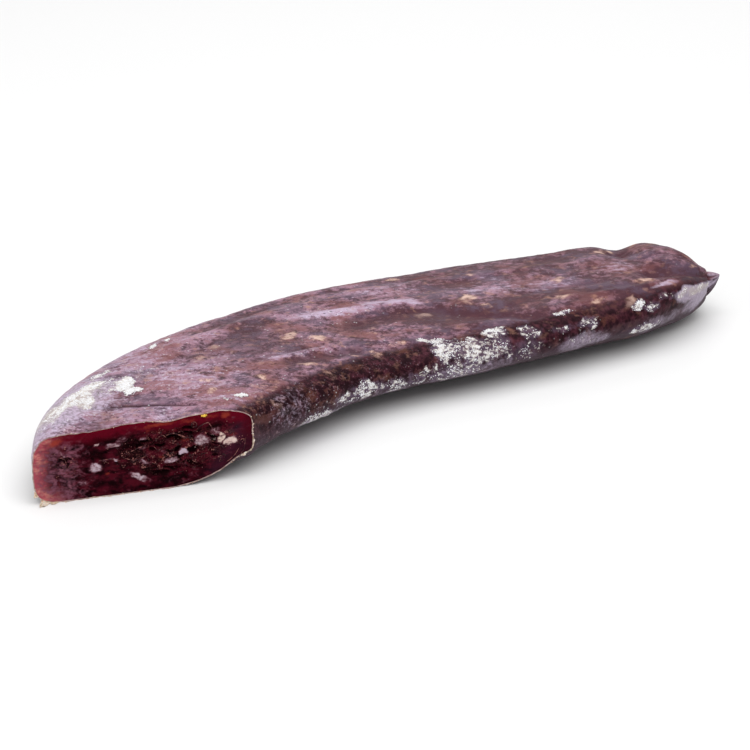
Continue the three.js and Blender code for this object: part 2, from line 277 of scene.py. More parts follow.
def casing_point(s, q, extra=None):
    """Casing at s along and q quarter turns round: 0 low-Y edge, 1 top, 2 high-Y edge, 3 underside.
    extra gives finer relief from (s, round)."""
    s, q = np.broadcast_arrays(np.asarray(s, float), np.asarray(q, float))
    share = s / LENGTH
    wide = left(share, WIDTH_CLOSES_AT, WIDTH_CLOSING)
    deep = left(share, DEPTH_CLOSES_AT, DEPTH_CLOSING)
    tail = left((s - LENGTH) / TAIL_LENGTH, 0, TAIL_POINT)
    a = (TAIL_WIDTH * tail + (along(WIDTHS, share) - TAIL_WIDTH) * wide) / 2
    b = (TAIL_DEPTH * tail + (along(THICKNESSES, share) - TAIL_DEPTH) * deep) / 2
    a, b = np.maximum(a, TINY), np.maximum(b, TINY)
    middle = b + (TAIL_HEIGHT - TAIL_DEPTH / 2) * (1 - deep) + TAIL_DEPTH * TAIL_RISES * (1 - tail)
    q = np.mod(q, 4)
    i = q.astype(int)
    part = np.where(i % 2 == 1, 1 - (q - i), q - i)
    power = mix(QUARTERS_AT_CUT[i], QUARTERS_ALONG[i], smooth(share / QUARTERS_CHANGE_BY))
    power = mix(power, ROUND, smooth((share - ROUND_FROM) / (1 - ROUND_FROM)))
    # Even steps round a quarter of the bounding box, drawn in to the rounded section
    walked = part * (a + b)
    box_x = np.where(walked < b, 1.0, (a + b - walked) / a)
    box_z = np.where(walked < b, walked / b, 1.0)
    draw = (box_x ** power + box_z ** power) ** (-1 / power)
    x = np.where((i == 0) | (i == 3), 1.0, -1.0) * box_x * draw
    z = np.where(i < 2, 1.0, -1.0) * box_z * draw
    normal_x = np.sign(x) * np.abs(x) ** (power - 1) / a
    normal_z = np.sign(z) * np.abs(z) ** (power - 1) / b
    length = np.hypot(normal_x, normal_z)
    height = middle + b * z - PRESSED
    r = (1 - np.where(q > 3, q - 4, q)) * QUARTER
    out = sum(fold_height(fold, s, r) for fold in FOLDS)
    for cell_s, cell_r, size, seed in (RIPPLES, LUMPS):
        out = out + size * ground(s / cell_s, r / cell_r, seed)
    side = smooth((-x - 0.2) / 0.8)
    swelling = SWELLING * np.exp(-((s - SWELLING_AT) / SWELLING_REACH) ** 2) * side
    out = out * np.clip(a / RELIEF_NEEDS, 0, 1) + swelling
    if extra is not None:
        out = out + extra(s, r) * np.clip(a / RELIEF_NEEDS, 0, 1)
    out = out * smooth(height / RELIEF_FADE)
    heading = np.interp(s, LINE_S, LINE_HEADING)
    across = a * x + normal_x / length * out
    return np.stack([
        np.interp(s, LINE_S, LINE_X) + np.sin(heading) * across,
        np.interp(s, LINE_S, LINE_Y) - np.cos(heading) * across,
        np.maximum(height + normal_z / length * out, 0),
    ], -1)


def cut_at(q):
    """Distance along the middle line at which the casing's line q meets the cut."""
    low, high = np.full(q.shape, -CUT_SEARCH), np.full(q.shape, CUT_SEARCH)
    for _ in range(CUT_SEARCH_STEPS):
        middle = (low + high) / 2
        before = (casing_point(middle, q) - CUT_MIDDLE) @ CUT_OUT > 0
        low, high = np.where(before, middle, low), np.where(before, high, middle)
    return (low + high) / 2


def on_cut(across, up, out=0.0):
    """Points that lie this far across and up the cut, and out of it."""
    across, up, out = (np.asarray(value, float)[..., None] for value in (across, up, out))
    return CUT_MIDDLE + across * CUT_ACROSS + up * CUT_UP + out * CUT_OUT


def spots(s, r, cell_s, cell_r, share, seed):
    """Scattered soft spots, longer along than round: 1 in the middle of one, 0 away from all."""
    x, y = s / cell_s, r / cell_r
    i, j = np.floor(x), np.floor(y)
    best = np.zeros(np.shape(s))
    for di in (-1, 0, 1):
        for dj in (-1, 0, 1):
            a, b = i + di, j + dj
            there = chance(a, b, seed) < share
            size = 0.22 + 0.3 * chance(a, b, seed + 3)
            px = a + 0.15 + 0.7 * chance(a, b, seed + 1)
            py = b + 0.15 + 0.7 * chance(a, b, seed + 2)
            tilt = 0.5 * (chance(a, b, seed + 4) - 0.5)
            away = np.hypot((x - px), (y - py - tilt * (x - px))) / size
            best = np.maximum(best, np.where(there, smooth(1.4 - away), 0))
    return best


def patches(table, s, r, seed, soft):
    """Cover of patches with wandering edges, full inside and gone past soft of their size outside."""
    wander_s = s + 2.0 * ground(s / 5, r / 4, seed) + 0.8 * ground(s / 1.9, r / 1.7, seed + 1)
    wander_r = r + 1.5 * ground(s / 5, r / 4, seed + 2) + 0.6 * ground(s / 1.9, r / 1.7, seed + 3)
    cover = np.zeros(np.shape(s))
    for at_s, at_r, half_s, half_r, strength in table:
        turn = np.interp(at_s, LINE_S, LINE_HEADING) - GRAIN_HEADING if abs(at_r) < GRAIN_UP_TO else 0.0
        ds, dr = wander_s - at_s, wander_r - at_r
        with_grain = ds * math.cos(turn) + dr * math.sin(turn)
        over_grain = dr * math.cos(turn) - ds * math.sin(turn)
        away = np.hypot(with_grain / half_s, over_grain / half_r)
        cover = np.maximum(cover, strength * smooth((1 + soft - away) / (2 * soft)))
    return cover


def mould_field(s, r):
    """Thickness of white mould, which is clumped where it is thin."""
    cover = patches(MOULD, s, r, 21, 0.55)
    return cover * (1 + 0.28 * np.where(cover < 1.1, ground(s / 2.8, r / 2.8, 25), 0))


def fat_field(s, r):
    """Fat that shows through the casing."""
    return patches(FAT, s, r, 45, 0.7)


def broad_relief(s, r):
    """Height of the broad folds and uneven ground on the top, in millimetres, from which ridges are painted
    lighter and valleys darker as light and shade.
    """
    out = sum(fold_height(fold, s, r) for fold in FOLDS[6:10] + CREASES)
    for cell_s, cell_r, size, seed in (RIPPLES, LUMPS):
        out = out + size * ground(s / cell_s, r / cell_r, seed)
    return out + 0.3 * fold_height(FOLDS[2], s, r) + 0.3 * fold_height(FOLDS[0], s, r)


def fine_relief(s, r):
    """Creases, dried wrinkles, gathers and the mould's crust, in millimetres."""
    out = sum(fold_height(crease, s, r + 0.6 * ground(s / 8, r / 8, 50)) for crease in CREASES)
    bend = 1.6 * ground(s / 11, r / 7, 51)
    long = ground(s / 9, (r + bend) / 5, 52)
    short = ground(s / 3.6, (r + bend) / 2.8, 53)
    out = out - 0.09 * np.exp(-(long / 0.2) ** 2) - 0.07 * np.exp(-(short / 0.25) ** 2)
    out = out + 0.14 * ground(s / 5.5, (r + bend) / 4.4, 54) + 0.08 * ground(s / 1.9, r / 1.6, 55)
    gathers = GATHERS * smooth((s - GATHERS_FROM) / GATHERS_OVER)
    out = out + gathers * ground(s / 24, (r + bend) / 4.2, 56)
    squeeze = smooth((s - SQUEEZED_ALONG[0]) / 8) * smooth((SQUEEZED_ALONG[1] - s) / 10)
    squeeze = squeeze * smooth((r - SQUEEZED_ROUND[0]) / 6) * smooth((SQUEEZED_ROUND[1] - r) / 6)
    out = out + squeeze * SQUEEZE * ground((s + 0.25 * r) / 2.6, r / 11, 57)
    out = out + FAT_STANDS * fat_field(s, r)
    crust = smooth((mould_field(s, r) - CRUST_FROM) / CRUST_OVER)
    return out + crust * (CRUST + CRUST_CRUMBS * np.maximum(rough(s / 1.5, r / 1.5, 58, 2), 0))


def grid_normals(points):
    """Outward normals of a grid of points that closes on itself round its second axis."""
    lengthwise = np.gradient(points, axis=0)
    round_ = np.roll(points, -1, 1) - np.roll(points, 1, 1)
    normal = np.cross(lengthwise, round_)
    return normal / np.maximum(np.linalg.norm(normal, axis=-1, keepdims=True), TINY ** 2)


def make_mesh(name, points, faces, material, fields=None, sharp=None):
    """A mesh object in metres that rides on the part. fields are values for each point."""
    mesh = bpy.data.meshes.new(name)
    placed = (points + PLACE) * MM
    placed[:, 2] = np.maximum(placed[:, 2], 0)
    mesh.from_pydata(placed.tolist(), [], [list(f) for f in faces])
    mesh.polygons.foreach_set("use_smooth", [True] * len(mesh.polygons))
    for key, values in (fields or {}).items():
        layer = mesh.attributes.new(key, "FLOAT", "POINT")
        layer.data.foreach_set("value", np.asarray(values, np.float32).ravel())
    if sharp is not None:
        mesh.set_sharp_from_angle(angle=math.radians(sharp))
    mesh.materials.append(material)
    piece = bpy.data.objects.new(name, mesh)
    bpy.context.scene.collection.objects.link(piece)
    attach(piece, "root")
    return piece


class Shader:
    """A material's node tree, built call by call."""

    def __init__(self, name, heading=0.0):
        self.material = bpy.data.materials.new(name)
        self.material.use_nodes = True
        self.tree = self.material.node_tree
        self.bsdf = self.tree.nodes["Principled BSDF"]
        where = self.node("ShaderNodeTexCoord").outputs["Object"]
        turned = {"Vector": where, "Angle": -heading}
        self.where = self.node("ShaderNodeVectorRotate", turned, rotation_type="Z_AXIS").outputs[0]

    def node(self, kind, inputs=None, **settings):
        node = self.tree.nodes.new(kind)
        for key, value in settings.items():
            setattr(node, key, value)
        for key, value in (inputs or {}).items():
            self.put(node.inputs[key], value)
        return node

    def put(self, socket, value):
        if isinstance(value, bpy.types.NodeSocket):
            self.tree.links.new(value, socket)
        else:
            socket.default_value = value

    def set(self, **values):
        for key, value in values.items():
            self.put(self.bsdf.inputs[key.replace("_", " ")], value)

    def field(self, name):
        return self.node("ShaderNodeAttribute", attribute_name=name).outputs["Fac"]

    def place(self, *cell):
        """The object's own place over a cell's size in millimetres: with the heading, across it and up."""
        factors = tuple(1 / (MM * size) for size in cell)
        scaled = self.node("ShaderNodeVectorMath", {0: self.where, 1: factors}, operation="MULTIPLY")
        return scaled.outputs[0]

    def fade(self, value, share):
        """A value from 0 to 1 drawn in towards its middle."""
        part = self.times(self.math("SUBTRACT", value, 0.5), share)
        return self.math("ADD", part, 0.5)

    def noise(self, cell, detail=2.0, roughness=0.5, distortion=0.0):
        values = {"Detail": detail, "Roughness": roughness, "Distortion": distortion}
        values.update({"Vector": self.place(*cell), "Scale": 1.0})
        return self.node("ShaderNodeTexNoise", values).outputs["Fac"]

    def cells(self, cell):
        """Distance to the nearest of scattered points, one in each cell."""
        values = {"Vector": self.place(*cell), "Scale": 1.0}
        return self.node("ShaderNodeTexVoronoi", values).outputs["Distance"]

    def sum(self, *terms):
        """Sum of values and of (value, weight) pairs."""
        total = None
        for term in terms:
            part = self.times(*term) if isinstance(term, tuple) else term
            total = part if total is None else self.math("ADD", total, part)
        return total

    def math(self, operation, a, b=0.0, clamp=False):
        return self.node("ShaderNodeMath", {0: a, 1: b}, operation=operation, use_clamp=clamp).outputs[0]

    def times(self, a, b):
        return self.math("MULTIPLY", a, b)

    def ramp(self, value, low, high, to_low=0.0, to_high=1.0):
        """A value taken smoothly from low..high to to_low..to_high."""
        values = {"Value": value, "From Min": low, "From Max": high, "To Min": to_low, "To Max": to_high}
        return self.node("ShaderNodeMapRange", values, interpolation_type="SMOOTHSTEP").outputs["Result"]

    def blend(self, a, b, share):
        """Colour a with share of colour b."""
        node = self.node("ShaderNodeMix", data_type="RGBA")
        self.put(node.inputs[0], share)
        self.put(node.inputs[6], a)
        self.put(node.inputs[7], b)
        return node.outputs[2]

    def bump(self, height, distance, strength=1.0, below=None):
        values = {"Height": height, "Distance": distance * MM, "Strength": strength}
        if below is not None:
            values["Normal"] = below
        return self.node("ShaderNodeBump", values).outputs["Normal"]


def colour(red, green, blue):
    return (red, green, blue, 1.0)


# Casing: plum to mauve with a lilac haze of powder and painted sheen on top, maroon with painted shade at
# the side, tan fat, white mould
PLUM = colour(0.080, 0.032, 0.043)
MAUVE = colour(0.418, 0.236, 0.316)
LILAC = colour(0.570, 0.465, 0.610)
RUST = colour(0.245, 0.090, 0.085)
SLATE = colour(0.135, 0.095, 0.145)
MAROON = colour(0.090, 0.024, 0.036)
UMBER = colour(0.100, 0.037, 0.026)
DUSK = colour(0.062, 0.038, 0.050)
ASH = colour(0.300, 0.260, 0.310)
ORANGE = colour(0.420, 0.215, 0.150)
TAN = colour(0.700, 0.480, 0.400)
PEARL = colour(0.520, 0.450, 0.430)
PIT = colour(0.015, 0.0035, 0.006)
POWDER = colour(0.850, 0.850, 0.870)
CREAM = colour(0.600, 0.540, 0.480)
RIND = colour(0.640, 0.500, 0.470)
RIND_BROWN = colour(0.260, 0.130, 0.100)


def casing_material():
    sh = Shader("casing", GRAIN_HEADING)
    # high paints light on ridges and shade in valleys, from the broad relief
    crisp, high, haze_and_sheen, dark_and_shaded = (sh.field(name) for name in ("crisp", "high", "haze_and_sheen", "dark"))
    patched, filmed = sh.field("mould"), sh.field("film")
    soften = sh.ramp(crisp, 0.1, 0.9, 0.5, 1.0)
    patch = sh.noise((16, 10, 10))
    cloud = sh.noise((8, 6.5, 6.5))
    blotch = sh.noise((3.0, 2.5, 2.5), detail=3.0, roughness=0.6)
    mottle = sh.fade(sh.noise((1.9, 1.7, 1.7), detail=3.0, roughness=0.7, distortion=0.3), soften)
    drape = sh.noise((1.7, 1.7, 6.0), detail=3.0, roughness=0.6)
    wisp = sh.noise((5.5, 1.5, 1.5), detail=4.0, roughness=0.65, distortion=0.7)
    grain = sh.fade(sh.noise((1.15, 0.95, 0.95), detail=4.0, roughness=0.7), crisp)
    pore = sh.fade(sh.noise((0.55, 0.5, 0.5)), crisp)
    # Top: plum to mauve, with reddish and slaty patches and a lilac haze; lighter on ridges and darker in
    # valleys and hollows as painted light and shade
    tone = sh.sum((cloud, 1.1), (blotch, 1.9), (mottle, 2.3), (wisp, 0.8), (grain, 1.8))
    tone = sh.sum(tone, (high, 0.6), (crisp, 0.5), (haze_and_sheen, 0.6), (dark_and_shaded, -0.6))
    top = sh.blend(PLUM, MAUVE, sh.ramp(tone, 4.26, 5.38))
    red = sh.sum(patch, (blotch, 0.5))
    rusty = sh.times(sh.ramp(red, 0.75, 0.93, 0.0, 0.65), sh.ramp(crisp, 0.3, 0.9, 0.6, 1.0))
    top = sh.blend(top, RUST, rusty)
    top = sh.blend(top, SLATE, sh.ramp(red, 0.74, 0.60, 0.0, 0.5))
    # Lilac powder on the top, strongest on ridges, where it is also a painted sheen and highlight
    dust_and_sheen = sh.sum((haze_and_sheen, 0.55), (dark_and_shaded, -0.4), (high, 0.3), (wisp, 1.6), (mottle, 1.1), (grain, 1.4))
    top = sh.blend(top, LILAC, sh.ramp(dust_and_sheen, 2.42, 3.10, 0.0, 0.86))
    # Painted shade: dusk in the hollows and dark places
    top = sh.blend(top, DUSK, sh.ramp(sh.sum(dark_and_shaded, (mottle, 0.8)), 0.9, 2.1))
    # Side: maroon with umber patches, and dusky with an ashy speckle near the floor; its darkness is partly
    # the casing's colour and partly painted shade of a shoulder turned from the light
    dark = sh.sum((blotch, 1.2), mottle, drape, (grain, 1.2))
    side = sh.blend(PIT, MAROON, sh.ramp(dark, 1.98, 2.70))
    earth = sh.sum(cloud, (blotch, 0.7), (grain, 0.6))
    side = sh.blend(side, UMBER, sh.ramp(earth, 1.14, 1.40, 0.0, 0.85))
    side_and_shade = sh.sum(sh.field("side_and_shade"), (blotch, 0.35), (mottle, 0.2), (grain, 0.25))
    speckle = sh.sum(grain, (pore, 0.6), (mottle, 0.6))
    dusk = sh.blend(DUSK, ASH, sh.ramp(speckle, 1.12, 1.55, 0.0, 0.7))
    side = sh.blend(side, dusk, sh.ramp(side_and_shade, 0.98, 1.28))
    ashy = sh.sum(grain, (pore, 0.8), (drape, 0.5))
    side = sh.blend(side, ASH, sh.ramp(ashy, 1.27, 1.56, 0.0, 0.75))
    # Painted shade: the top gives way to the dark side colours by how far round the near side lies
    base = sh.blend(top, side, sh.ramp(side_and_shade, 0.36, 0.70))
    # Fat under the casing, broken up by the grain, with a hint of it elsewhere
    lump = sh.noise((4.6, 3.8, 3.8), detail=1.0)
    fat = sh.sum((sh.field("fat"), 0.95), (lump, 1.5), (mottle, 0.7), (grain, 1.2), (blotch, 0.6))
    tan = sh.blend(ORANGE, TAN, sh.ramp(sh.sum((fat, 0.6), (pore, 0.9)), 1.86, 2.28))
    seen = sh.times(sh.ramp(fat, 2.36, 3.10, 0.0, 0.95), sh.ramp(side_and_shade, 1.0, 0.4, 0.15, 1.0))
    hint = sh.sum(lump, (mottle, 0.9), (grain, 0.5))
    hint = sh.times(sh.ramp(hint, 1.29, 1.56, 0.0, 0.55), sh.ramp(side_and_shade, 1.0, 0.4, 0.3, 1.0))
    base = sh.blend(base, ORANGE, hint)
    base = sh.blend(base, tan, seen)
    # Painted shade: valleys of the broad relief darkened towards plum
    valley_shade = sh.ramp(sh.sum((high, -1.0), (grain, 0.5), (blotch, 0.4)), 0.08, 0.42)
    base = sh.blend(base, PLUM, sh.times(valley_shade, 0.6))
    pits = sh.times(sh.ramp(pore, 0.42, 0.32), sh.ramp(blotch, 0.60, 0.46))
    base = sh.blend(base, PIT, sh.times(pits, 0.7))
    # Painted shade: a dark line along the creases near the cut
    base = sh.blend(base, PIT, sh.times(sh.field("crease"), 0.75))
    nicks = sh.ramp(sh.cells((3.6, 2.2, 2.2)), 0.20, 0.08)
    nicks = sh.times(nicks, sh.ramp(cloud, 0.50, 0.42))
    base = sh.blend(base, PIT, sh.times(nicks, sh.times(crisp, 0.7)))
    # Mould: a thin grey film, crumbs of powder that close up where it is thick, and flecks elsewhere
    crumb = sh.noise((1.35, 1.1, 1.1), roughness=0.55, distortion=0.4)
    clump = sh.noise((2.3, 2.0, 2.0), detail=3.0, roughness=0.6)
    mould = sh.sum((patched, 1.15), (clump, 1.7), (crumb, 1.9))
    under = sh.sum(patched, mottle, (grain, 0.8))
    base = sh.blend(base, SLATE, sh.ramp(under, 1.20, 1.80, 0.0, 0.8))
    film = sh.sum(filmed, mottle, (grain, 1.1))
    dusting = sh.blend(ASH, LILAC, sh.ramp(grain, 0.4, 0.6))
    dusting = sh.blend(dusting, PEARL, sh.ramp(sh.times(filmed, patched), 0.35, 1.1))
    base = sh.blend(base, dusting, sh.ramp(film, 1.35, 2.15, 0.0, 0.85))
    cover = sh.ramp(mould, 2.54, 3.02)
    powder = sh.blend(CREAM, POWDER, sh.ramp(sh.sum(pore, (mould, 0.35)), 1.35, 1.75))
    base = sh.blend(base, powder, sh.times(cover, 0.95))
    flecks = sh.ramp(sh.cells((1.9, 1.7, 1.7)), 0.20, 0.10)
    flecks = sh.times(flecks, sh.ramp(sh.sum(cloud, (haze_and_sheen, 0.25)), 0.54, 0.62))
    base = sh.blend(base, POWDER, sh.times(flecks, sh.times(crisp, 0.4)))
    rind = sh.blend(RIND_BROWN, RIND, sh.ramp(grain, 0.40, 0.58))
    base = sh.blend(base, rind, sh.times(sh.field("rim"), 0.9))
    sh.set(Base_Color=base, Specular_IOR_Level=0.07, Specular_Tint=colour(1.0, 0.8, 0.9))
    dull = sh.times(cover, 0.4)
    sh.set(Roughness=sh.math("ADD", sh.ramp(grain, 0.3, 0.7, 0.30, 0.50), dull, clamp=True))
    low = sh.bump(blotch, 0.30, 0.6)
    mid = sh.bump(grain, 0.20, 0.8, low)
    sh.set(Normal=sh.bump(crumb, 0.22, sh.times(cover, 0.9), mid))
    return sh.material


def casing_grid():
    """Stations and quarter turns of the casing's mesh, from the cut to the end of the tail."""
    q = np.arange(COLUMNS) * 4 / COLUMNS
    start = cut_at(q)
    steps = np.linspace(0, 1, STATIONS + 1)[:, None] ** CLOSER_AT_CUT
    steps = np.insert(steps, 1, RIM_WIDTH / LENGTH, 0)
    s = start + (LENGTH - start) * steps
    rings = LENGTH + TAIL_LENGTH * np.sin(np.arange(1, TAIL_RINGS) / TAIL_RINGS * math.pi / 2)
    s = np.concatenate([s, np.broadcast_to(rings[:, None], (TAIL_RINGS - 1, COLUMNS))])
    return s, np.broadcast_to(q, s.shape)


def inward(ring, distance):
    """A ring moved in by a distance, square to itself and to the cut's normal."""
    run = np.roll(ring, -1, 0) - np.roll(ring, 1, 0)
    side = unit(np.cross(run, CUT_OUT))
    middle = ring.mean(0)
    outwards = np.sign(((ring - middle) * side).sum(1, keepdims=True))
    return ring - side * outwards * distance


def ladder(size):
    """Faces across a closed ring of points, from one half to the other, as places in the ring."""
    for j in range(size // 2):
        a, b, c, d = j, j + 1, size - j - 1, (size - j) % size
        yield [a, b, c] if a == d else [a, b, d] if b == c else [a, b, c, d]


def casing():
    """The casing: outer surface, a thin lip at the cut, and a wall behind the cut meat."""
    s, q = casing_grid()
    points = casing_point(s, q, fine_relief)
    ragged = RIM_RAGGED * rough(q[0] * 22, 0 * q[0], 61, 3) + 0.1
    points[:2] += CUT_OUT * np.maximum(ragged, -0.15)[:, None]
    up = grid_normals(points)[..., 2]
    r = (1 - np.where(q > 3, q - 4, q)) * QUARTER
    crease_shade = sum(fold_height((*crease[:4], CREASE_SHADE_WIDTH, 1.0), s, r) for crease in SHADED_CREASES)
    rim = np.zeros(s.shape)
    rim[0] = 0.85 - 0.5 * np.exp(-((q[0] - 1.3) / 0.6) ** 2) + 0.3 * rough(q[0] * 9, 0 * q[0], 63, 2)
    fields = {
        # Painted shade: on the near side by how far round it lies, on the far side where the casing faces
        # down
        "side_and_shade": np.where(r > 0, np.clip((r - SIDE_FROM) / SIDE_HEIGHT, 0, 1), smooth((0.3 - up) / 0.6)),
        "crisp": mix(1.0, SOFTEST, smooth((s - SOFT_FROM) / SOFT_OVER)),
        # high: painted light on ridges and painted shade in valleys, from the broad relief
        "high": np.clip(0.5 + broad_relief(s, r) / RELIEF_SHADE_OVER, 0, 1),
        "fat": fat_field(s, r) * smooth((up + 0.3) / 0.6),
        "haze_and_sheen": patches(HAZE_AND_HIGHLIGHTS, s, r, 61, 0.55),
        "mould": mould_field(s, r),
        "film": patches(FILM, s, r, 65, 0.6),
        "dark": patches(DARK_AND_SHADED, s, r, 69, 0.7),
        "rim": rim,
        "crease": np.clip(crease_shade, 0, 1),
    }
    rows = len(points)
    lip = inward(points[0], CASING_THICKNESS)
    wall = inward(casing_point(s[0] + CUT_RECESS, q[0]), CASING_THICKNESS)
    end = casing_point(LENGTH + TAIL_LENGTH - TINY, 0)
    everything = np.concatenate([points.reshape(-1, 3), lip, wall, end[None]])
    index = np.arange(rows * COLUMNS).reshape(rows, COLUMNS)
    lip_index = rows * COLUMNS + np.arange(COLUMNS)
    wall_index = lip_index + COLUMNS
    tip = len(everything) - 1
    faces = []

    def strip(a, b):
        for j in range(COLUMNS):
            k = (j + 1) % COLUMNS
            faces.append((a[j], b[j], b[k], a[k]))

    for i in range(rows - 1):
        strip(index[i], index[i + 1])
    strip(lip_index, index[0])
    strip(wall_index, lip_index)
    for j in range(COLUMNS):
        faces.append((index[-1][j], tip, index[-1][(j + 1) % COLUMNS]))
    # The wall behind the meat
    faces.extend(wall_index[corners].tolist() for corners in ladder(COLUMNS))
    tip_value = {key: value[-1].mean() for key, value in fields.items()}
    padded = {
        key: np.concatenate([value.ravel(), np.full(2 * COLUMNS, float(key == "rim")), [tip_value[key]]])
        for key, value in fields.items()
    }
    piece = make_mesh("sausage_casing", everything, faces, casing_material(), padded, sharp=50)
    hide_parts("sausage")
    return points, fields


# Pieces in the cut face, in millimetres across and up the cut: across, up, half length, half height,
# tilt in degrees, tone and strength. Tone runs from lavender at 0 to cream at 1
FAT_PIECES = [
    (-9.6, -1.3, 1.9, 1.45, -8, 0.1, 1.0), (2.7, -5.8, 3.1, 1.2, -28, 0.15, 0.85),
    (-14.2, -5.7, 2.1, 1.4, -8, 0.0, 0.5), (-17.9, -5.8, 1.6, 1.0, 12, 0.1, 0.35),
    (-4.0, 5.0, 2.4, 0.85, 5, 0.3, 0.75), (-1.4, 6.4, 2.1, 0.8, 18, 0.25, 0.5),
    (-8.7, 6.0, 1.1, 0.42, 5, 0.6, 0.9), (-5.8, 0.7, 2.8, 0.25, 4, 0.0, 0.55),
    (-3.9, 0.6, 0.5, 0.4, 0, 0.0, 1.0), (-13.7, 2.6, 2.0, 0.55, 18, 0.15, 0.4),
    (4.6, 5.8, 1.0, 0.6, 0, 0.1, 0.7), (4.4, 3.1, 1.3, 0.5, 22, 0.1, 0.45),
    (12.8, -1.8, 2.4, 0.95, 5, 0.15, 0.8), (5.1, -1.4, 1.9, 0.7, -28, 0.1, 0.7),
    (10.9, 1.0, 1.1, 0.6, -15, 0.15, 0.5), (16.6, 0.5, 1.05, 0.95, 0, 0.0, 1.1),
    (22.3, 3.3, 2.4, 1.5, -8, 0.25, 0.85), (26.7, 5.5, 1.8, 1.0, 10, 0.3, 0.65),
    (28.0, 3.4, 1.2, 1.9, -22, 1.0, 0.95), (30.6, 1.9, 2.0, 1.35, 28, 0.8, 1.1),
    (30.8, 5.1, 2.0, 0.9, -10, 1.0, 0.35), (19.8, -5.6, 1.4, 0.35, 0, 0.3, 0.55),
    (16.4, -9.0, 1.1, 0.85, 0, 0.15, 0.35), (12.4, -8.2, 1.3, 0.7, 0, 1.0, 0.3),
    (-19.1, 4.7, 1.8, 0.36, -68, 0.4, 0.6), (-21.7, 3.4, 2.4, 1.3, -20, 0.5, 0.32),
    (-22.4, -3.2, 1.8, 0.2, -55, 0.4, 0.45), (-21.0, -4.4, 1.5, 0.2, -52, 0.4, 0.42),
    (-24.2, -1.4, 1.6, 0.18, -72, 0.5, 0.42), (-25.0, 5.6, 1.0, 1.5, 12, 1.0, 0.45),
    (33.6, -1.4, 2.6, 0.35, 48, 0.1, 0.35), (30.2, -3.4, 3.4, 0.3, 28, 0.1, 0.32),
]
# Translucent orange-red pieces, in the same form
RED_PIECES = [
    (-20.8, 7.8, 1.9, 1.0, 14, 0, 0.9), (6.7, 8.2, 1.2, 0.7, 5, 0, 0.5),
    (9.5, 9.6, 5.5, 0.6, 4, 0, 0.75), (18.5, 9.6, 2.6, 0.9, 0, 0, 0.6),
    (30.0, 10.3, 1.3, 0.9, 0, 0, 0.9), (25.8, 10.6, 2.2, 0.5, 0, 0, 0.6),
    (10.0, -0.6, 0.9, 0.6, 0, 0, 0.6), (16.0, 4.6, 3.2, 0.5, -12, 0, 0.55),
    (-6.6, -3.4, 1.0, 0.5, 10, 0, 0.6), (31.4, 3.8, 1.6, 1.0, 20, 0, 0.5),
]
# Deep hollows in the torn meat, sunk in the relief and painted near black as shade: across, up, half length,
# half height, tilt, -, depth share
HOLLOWS = [
    (19.4, 0.7, 1.5, 1.1, 0, 0, 1.0), (14.5, 5.0, 2.8, 0.6, -14, 0, 0.9),
    (15.2, 1.4, 1.2, 0.8, 10, 0, 0.9), (-19.6, 2.0, 1.0, 0.5, 40, 0, 0.7),
    (-17.6, 0.4, 0.5, 1.0, 0, 0, 0.6), (0.8, 4.0, 3.0, 0.9, 10, 0, 0.55),
    (-8.0, 2.2, 2.8, 0.8, 10, 0, 0.45), (10.2, 3.2, 1.6, 0.5, 10, 0, 0.8),
    (7.6, 2.4, 1.2, 0.5, -20, 0, 0.7), (5.7, -10.0, 2.0, 0.4, 0, 0, 0.5),
]
# Torn meat: across, up, half length and half height
TORN = [(16, 1.5, 17, 6.5), (-17.8, 0.2, 4, 5)]
# Relief of the cut in millimetres, at its deepest and highest, and how far in its edges are known
CUT_DEEPEST, CUT_HIGHEST, CUT_EDGE = -1.9, 0.55, 6.0
CUT_COLUMNS, CUT_ROWS = 400, 132
CUT_BACK = 2.2


def piece_cover(table, u, v, seed, soft):
    """Cover of the pieces of a table, and the tone of the strongest."""
    wander_u = u + 0.50 * rough(u / 1.7, v / 1.7, seed, 2)
    wander_v = v + 0.34 * rough(u / 1.7, v / 1.7, seed + 4, 2)
    cover, tone = np.zeros(u.shape), np.zeros(u.shape)
    for at_u, at_v, half_u, half_v, tilt, tint, strength in table:
        c, n = math.cos(math.radians(tilt)), math.sin(math.radians(tilt))
        du, dv = wander_u - at_u, wander_v - at_v
        along_it, across_it = (du * c + dv * n) / half_u, (dv * c - du * n) / half_v
        away = (np.abs(along_it) ** 3 + np.abs(across_it) ** 3) ** (1 / 3)
        there = strength * smooth((1 + soft - away) / (2 * soft))
        tone = np.where(there > cover, tint, tone)
        cover = np.maximum(cover, there)
    return cover, tone


